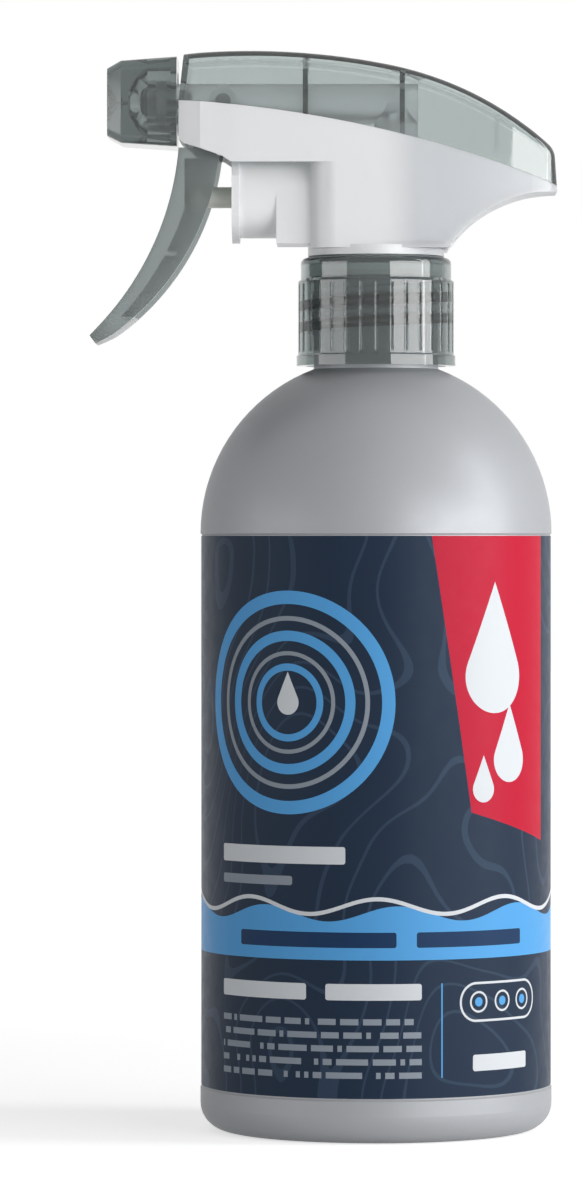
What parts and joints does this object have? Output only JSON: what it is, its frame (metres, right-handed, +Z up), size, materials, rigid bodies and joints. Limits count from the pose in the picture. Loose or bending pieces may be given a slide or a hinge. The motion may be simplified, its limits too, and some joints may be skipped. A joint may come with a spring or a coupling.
{
  "type": "trigger spray bottle",
  "caption": "Round bottle with a domed shoulder and a screw-on trigger sprayer: the lever drives a spring-loaded piston that lifts liquid up a dip tube and out of a turning nozzle.",
  "frame": {"origin": "centre of the foot ring, on the bottle axis and on the surface that the bottle stands on", "axes": "+Z up along the bottle axis, -X the way the nozzle sprays, -Y towards the front of the label"},
  "size_m": [0.0929, 0.0702, 0.2146],
  "materials": {
    "bottle_grey": "satin",
    "label_film": "satin",
    "smoke": "gloss",
    "milky": "satin",
    "natural": "satin",
    "cream": "satin",
    "soft_white": "matt",
    "steel": "polished"
  },
  "bodies": {
    "bottle": {"bottle": "bottle_grey", "wrap_label": "label_film"},
    "sprayer": {"pump_body": "milky", "shroud": "smoke", "tube_retainer": "natural", "neck_gasket": "soft_white", "dip_tube": "natural", "swirl_insert": "natural", "outlet_valve": "soft_white", "return_spring": "steel"},
    "cap": {"closure_cap": "smoke"},
    "trigger": {"trigger": "smoke"},
    "piston": {"piston": "cream"},
    "nozzle": {"nozzle": "smoke"},
    "inlet_ball": {"inlet_ball": "steel"}
  },
  "joints": [
    {"name": "sprayer_lift", "type": "slide", "parent": "bottle", "child": "sprayer", "axis": [0, 0, 1], "range_m": [0, 0.18]},
    {"name": "cap_turn", "type": "hinge", "parent": "sprayer", "child": "cap", "pos_m": [0, 0, 0.163], "axis": [0, 0, 1], "continuous": true},
    {"name": "trigger_pull", "type": "hinge", "parent": "sprayer", "child": "trigger", "pos_m": [-0.0303, 0, 0.2046], "axis": [0, -1, 0], "range_deg": [0, 20], "stiffness_Nm_per_rad": 0.15, "springref_deg": -14.32},
    {"name": "piston_stroke", "type": "slide", "parent": "sprayer", "child": "piston", "axis": [1, 0, 0], "range_m": [0, 0.0064], "deforming": ["return_spring"]},
    {"name": "nozzle_turn", "type": "hinge", "parent": "sprayer", "child": "nozzle", "pos_m": [-0.0465, 0, 0.2048], "axis": [-1, 0, 0], "continuous": true},
    {"name": "ball_lift", "type": "slide", "parent": "sprayer", "child": "inlet_ball", "axis": [0, 0, 1], "range_m": [0, 0.0015]}
  ],
  "couplings": [
    {"joint": "piston_stroke", "follows": "trigger_pull", "m_per_rad": 0.01826}
  ]
}
